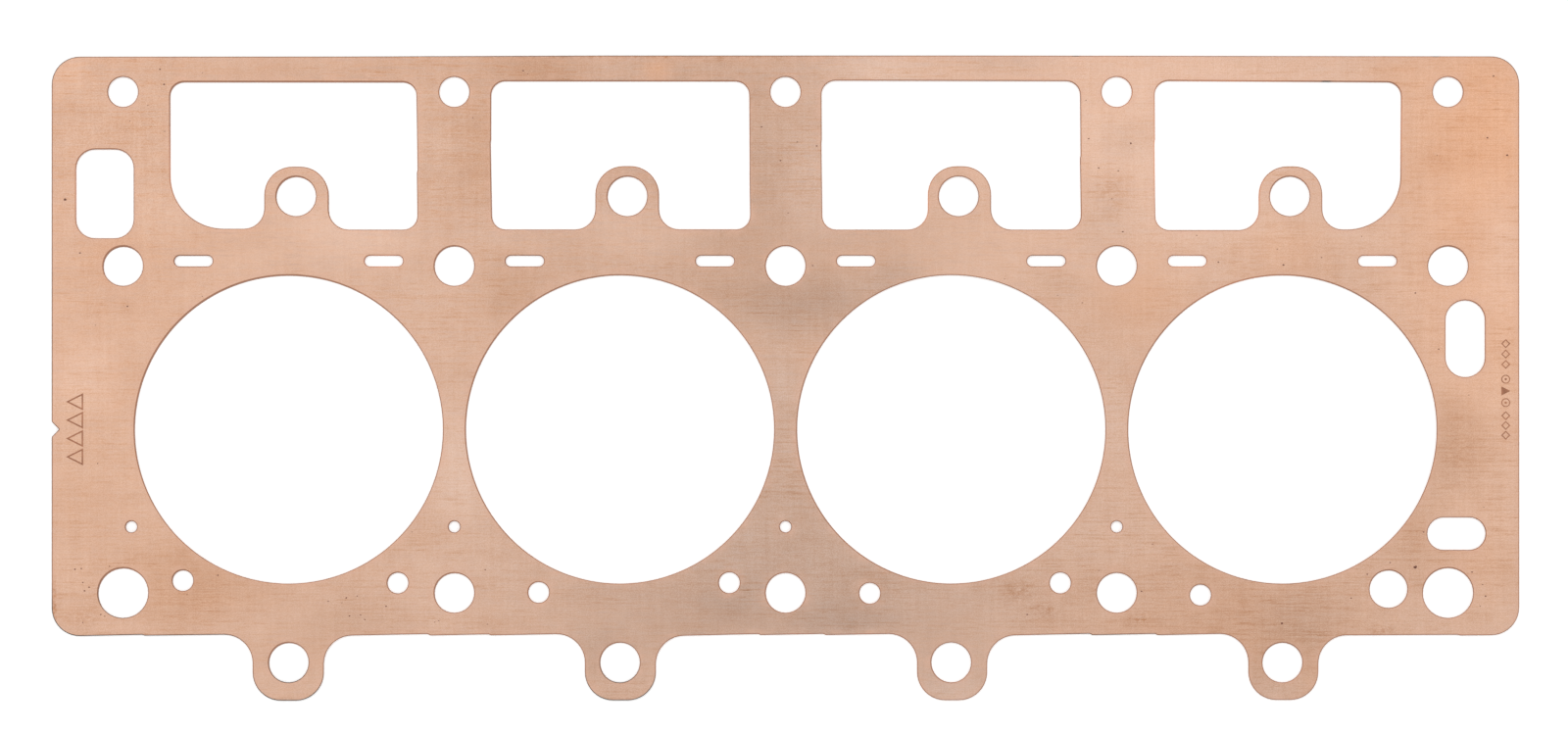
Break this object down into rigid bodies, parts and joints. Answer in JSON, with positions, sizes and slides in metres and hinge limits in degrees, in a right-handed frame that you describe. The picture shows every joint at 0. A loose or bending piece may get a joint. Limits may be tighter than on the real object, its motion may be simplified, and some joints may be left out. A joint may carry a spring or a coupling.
{
  "type": "cylinder head gasket",
  "caption": "Flat copper cylinder head gasket with round cylinder bores, bolt holes, tabbed port windows, coolant holes, end slots and eared lower edge.",
  "frame": {"origin": "on the line of the cylinder bores, midway between the two middle ones, on the face that lies on the engine block", "axes": "+X along the line of bores, away from the end with the small notch; +Y across the sheet, towards the edge with the port windows; +Z out of the sheet, towards the cylinder head"},
  "size_m": [0.495, 0.2177, 0.0013],
  "materials": {
    "copper": "bare rolled copper with a fine grain along its length"
  },
  "bodies": {
    "root": {"gasket_sheet": "copper"}
  },
  "joints": []
}
